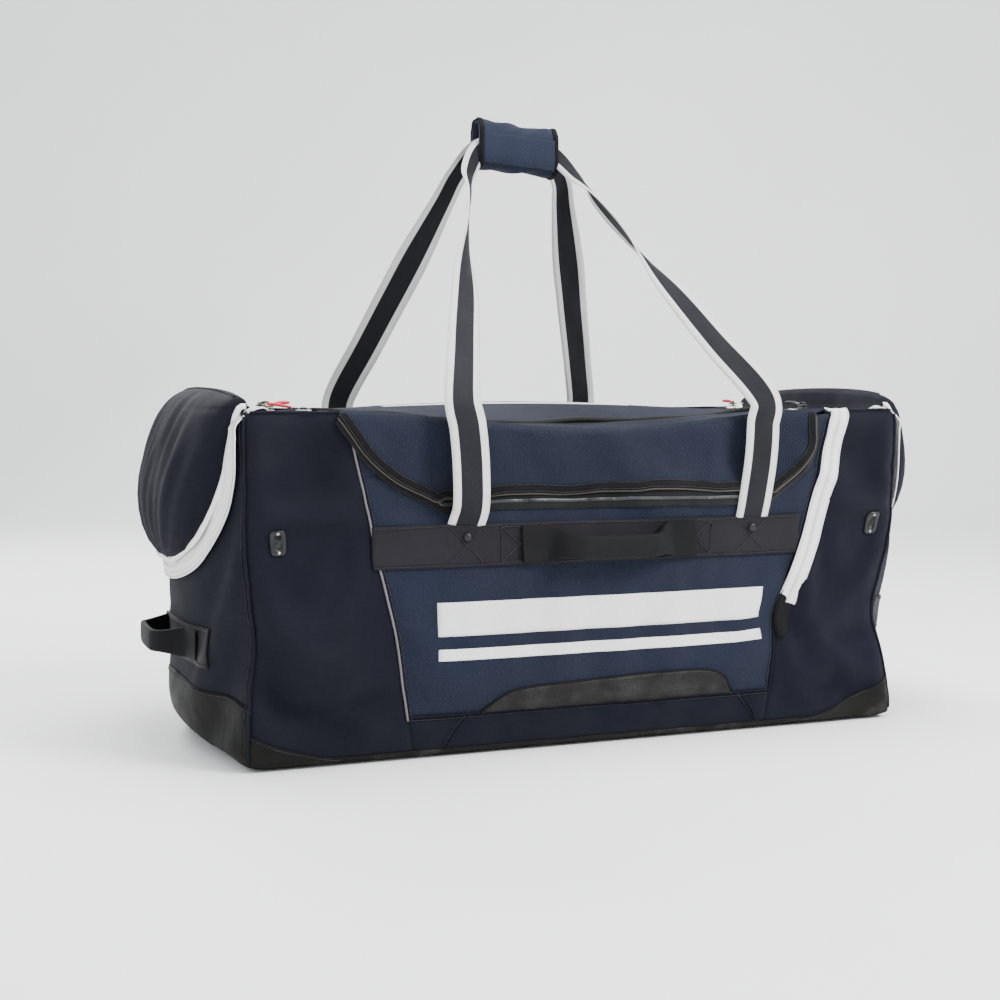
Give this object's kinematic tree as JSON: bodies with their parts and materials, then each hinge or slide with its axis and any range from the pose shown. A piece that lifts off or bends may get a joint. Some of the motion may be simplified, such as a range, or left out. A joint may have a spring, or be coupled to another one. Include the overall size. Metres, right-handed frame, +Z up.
{
  "type": "hockey equipment bag",
  "caption": "Large soft hockey equipment bag with a flap lid, zipped end pockets, grab handles and carry straps joined by a wrapped grip.",
  "frame": {"origin": "middle of the flat base, on the surface the bag stands on", "axes": "+X along the bag's length towards its right end, +Y to its back, +Z up"},
  "size_m": [1.1822, 0.612, 0.86],
  "materials": {
    "textured_fabric": "textured woven polyester",
    "plain_fabric": "smooth woven polyester",
    "coated_fabric": "coated tarpaulin",
    "mesh_fabric": "open knitted mesh",
    "lining_fabric": "thin lining cloth",
    "dark_webbing": "woven webbing",
    "striped_webbing": "woven webbing with two light stripes",
    "light_zip": "ribbed light zip tape",
    "dark_zip": "coil zip tape",
    "binding": "stitched binding tape",
    "wrap_fabric": "padded textured fabric",
    "stiff_board": "matte",
    "dark_hardware": "semi-matte moulded and painted",
    "red_pull": "matte moulded"
  },
  "bodies": {
    "bag": {"bottom_tray": "coated_fabric", "base_board": "stiff_board", "rear_top_panel": "textured_fabric", "left_top_yoke": "plain_fabric", "right_top_yoke": "plain_fabric", "ridge_binding": "binding", "main_zipper_tape": "dark_zip", "front_lower_band": "plain_fabric", "front_centre_panel": "textured_fabric", "front_left_side_panel": "plain_fabric", "front_right_side_panel": "plain_fabric", "front_mesh_vent": "mesh_fabric", "front_webbing_band": "dark_webbing", "front_vertical_zipper": "light_zip", "front_left_eyelet": "dark_hardware", "front_right_eyelet": "dark_hardware", "front_left_rivet": "dark_hardware", "front_right_rivet": "dark_hardware", "back_lower_band": "plain_fabric", "back_centre_panel": "textured_fabric", "back_left_side_panel": "plain_fabric", "back_right_side_panel": "plain_fabric", "back_mesh_vent": "mesh_fabric", "back_webbing_band": "dark_webbing", "back_vertical_zipper": "light_zip", "back_left_eyelet": "dark_hardware", "back_right_eyelet": "dark_hardware", "back_left_rivet": "dark_hardware", "back_right_rivet": "dark_hardware", "left_end_panel": "plain_fabric", "left_scuff_patch": "coated_fabric", "left_pocket_zipper": "light_zip", "left_pocket_liner": "lining_fabric", "left_webbing_band": "dark_webbing", "right_end_panel": "plain_fabric", "right_scuff_patch": "coated_fabric", "right_pocket_zipper": "light_zip", "right_pocket_liner": "lining_fabric", "right_webbing_band": "dark_webbing"},
    "lid": {"lid_flap": "textured_fabric", "lid_binding": "binding"},
    "front_strap": {"front_carry_strap": "striped_webbing", "grip_wrap": "wrap_fabric"},
    "wrap_flap": {"grip_wrap_flap": "wrap_fabric"},
    "back_strap": {"back_carry_strap": "striped_webbing"},
    "left_pocket": {"left_pocket_flap": "plain_fabric"},
    "left_handle": {"left_end_handle": "dark_webbing"},
    "left_zip_slider": {"left_pocket_slider": "dark_hardware"},
    "left_zip_pull": {"left_pocket_pull": "red_pull"},
    "right_pocket": {"right_pocket_flap": "plain_fabric"},
    "right_handle": {"right_end_handle": "dark_webbing"},
    "right_zip_slider": {"right_pocket_slider": "dark_hardware"},
    "right_zip_pull": {"right_pocket_pull": "red_pull"},
    "front_handle": {"front_grab_handle": "dark_webbing"},
    "front_zip_slider": {"front_vertical_slider": "dark_hardware"},
    "back_handle": {"back_grab_handle": "dark_webbing"},
    "back_zip_slider": {"back_vertical_slider": "dark_hardware"},
    "main_zip_left": {"main_left_slider": "dark_hardware"},
    "main_zip_left_tab": {"main_left_pull": "red_pull"},
    "main_zip_right": {"main_right_slider": "dark_hardware"}
  },
  "joints": [
    {"name": "lid_hinge", "type": "hinge", "parent": "bag", "child": "lid", "pos_m": [0, -0.104, 0.46], "axis": [-1, 0, 0], "range_deg": [0, 100]},
    {"name": "front_strap_swing", "type": "hinge", "parent": "bag", "child": "front_strap", "pos_m": [0, -0.24, 0.307], "axis": [1, 0, 0], "range_deg": [0, 135], "deforming": ["front_carry_strap"]},
    {"name": "back_strap_swing", "type": "hinge", "parent": "bag", "child": "back_strap", "pos_m": [0, 0.24, 0.307], "axis": [-1, 0, 0], "range_deg": [0, 135], "deforming": ["back_carry_strap"]},
    {"name": "wrap_flap_hinge", "type": "hinge", "parent": "front_strap", "child": "wrap_flap", "pos_m": [-0.029, -0.0215, 0.848], "axis": [-1, 0, 0], "range_deg": [0, 120]},
    {"name": "left_pocket_hinge", "type": "hinge", "parent": "bag", "child": "left_pocket", "pos_m": [-0.463, 0, 0.472], "axis": [0, 1, 0], "range_deg": [0, 110]},
    {"name": "left_handle_swing", "type": "hinge", "parent": "bag", "child": "left_handle", "pos_m": [-0.5436, 0, 0.153], "axis": [0, 1, 0], "range_deg": [-50, 50]},
    {"name": "left_pocket_zip", "type": "slide", "parent": "bag", "child": "left_zip_slider", "axis": [-0.7071, -0.7071, 0], "range_m": [0, 0.01]},
    {"name": "left_pull_swing", "type": "hinge", "parent": "left_zip_slider", "child": "left_zip_pull", "pos_m": [-0.4172, -0.1642, 0.4687], "axis": [0.7071, -0.7071, 0], "range_deg": [0, 90]},
    {"name": "right_pocket_hinge", "type": "hinge", "parent": "bag", "child": "right_pocket", "pos_m": [0.463, 0, 0.472], "axis": [0, -1, 0], "range_deg": [0, 110]},
    {"name": "right_handle_swing", "type": "hinge", "parent": "bag", "child": "right_handle", "pos_m": [0.5436, 0, 0.153], "axis": [0, 1, 0], "range_deg": [-50, 50]},
    {"name": "right_pocket_zip", "type": "slide", "parent": "bag", "child": "right_zip_slider", "axis": [0.7071, 0.7071, 0], "range_m": [0, 0.01]},
    {"name": "right_pull_swing", "type": "hinge", "parent": "right_zip_slider", "child": "right_zip_pull", "pos_m": [0.4172, 0.1642, 0.4687], "axis": [-0.7071, 0.7071, 0], "range_deg": [0, 90]},
    {"name": "front_handle_swing", "type": "hinge", "parent": "bag", "child": "front_handle", "pos_m": [0.014, -0.254, 0.2775], "axis": [1, 0, 0], "range_deg": [-50, 50]},
    {"name": "front_vertical_zip", "type": "slide", "parent": "bag", "child": "front_zip_slider", "axis": [0, -0.9987, -0.0503], "range_m": [0, 0.045]},
    {"name": "back_handle_swing", "type": "hinge", "parent": "bag", "child": "back_handle", "pos_m": [-0.014, 0.254, 0.2775], "axis": [1, 0, 0], "range_deg": [-50, 50]},
    {"name": "back_vertical_zip", "type": "slide", "parent": "bag", "child": "back_zip_slider", "axis": [0, 0.9987, -0.0503], "range_m": [0, 0.045]},
    {"name": "main_zip_left_slide", "type": "slide", "parent": "bag", "child": "main_zip_left", "axis": [1, 0, 0], "range_m": [0, 0.02]},
    {"name": "main_pull_swing", "type": "hinge", "parent": "main_zip_left", "child": "main_zip_left_tab", "pos_m": [-0.396, -0.196, 0.4644], "axis": [0, 1, 0], "range_deg": [0, 90]},
    {"name": "main_zip_right_slide", "type": "slide", "parent": "bag", "child": "main_zip_right", "axis": [0, -1, 0], "range_m": [0, 0.02]}
  ],
  "couplings": [
    {"joint": "front_strap_swing", "follows": "lid_hinge", "ratio": 1.35}
  ]
}
